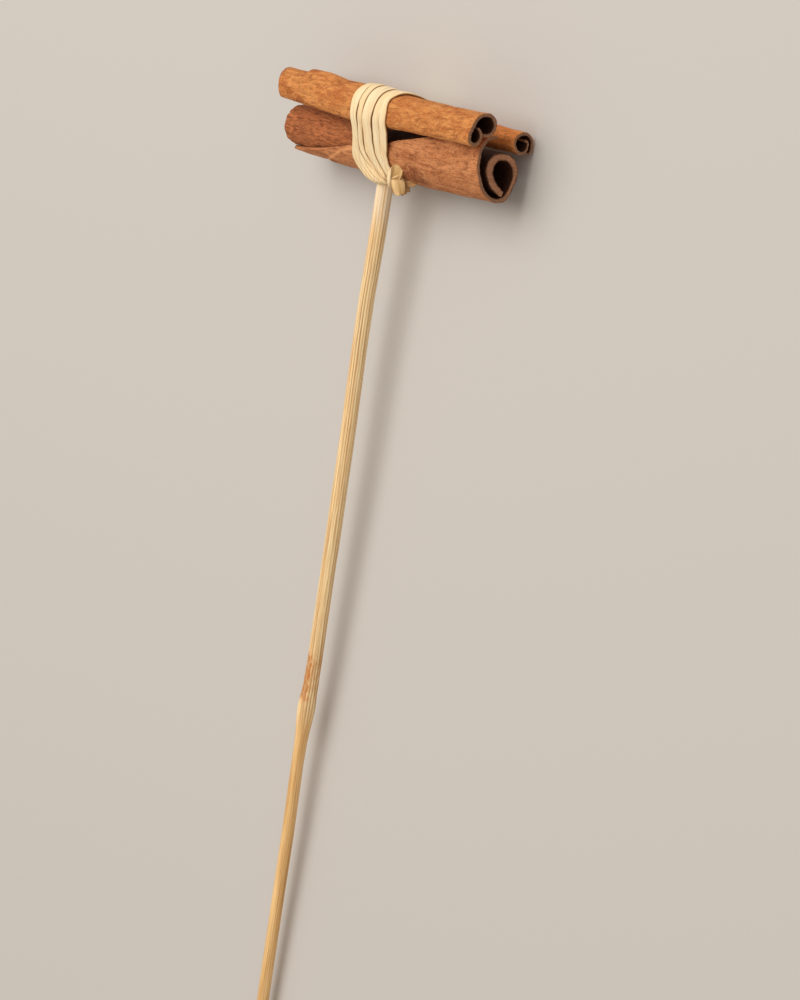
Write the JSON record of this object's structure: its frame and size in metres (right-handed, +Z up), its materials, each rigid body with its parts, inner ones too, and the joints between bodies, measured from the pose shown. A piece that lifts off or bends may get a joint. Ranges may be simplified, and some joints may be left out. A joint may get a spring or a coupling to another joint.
{
  "type": "cinnamon pick",
  "caption": "Florist's pick: rolled cinnamon bark quills tied crosswise with knotted raffia at the tip of a long reed stem, lying on its back.",
  "frame": {"origin": "centre of the part's box on the plane it lies on", "axes": "+X along the quills towards the end that shows the rolled sections, +Y along the stem towards the tied bundle, +Z up from the plane it lies on"},
  "size_m": [0.0796, 0.3006, 0.0225],
  "materials": {
    "cinnamon_bark": "dry matte bark with fine lengthwise fibres and grey-brown cut edges",
    "raffia": "pale straw ribbon with a soft sheen along its fibres",
    "reed": "dry ridged reed, smoother and more golden below its node"
  },
  "bodies": {
    "root": {"quill_large": "cinnamon_bark", "quill_upper": "cinnamon_bark", "quill_thin": "cinnamon_bark", "raffia_tie": "raffia", "reed_stem": "reed"}
  },
  "joints": []
}
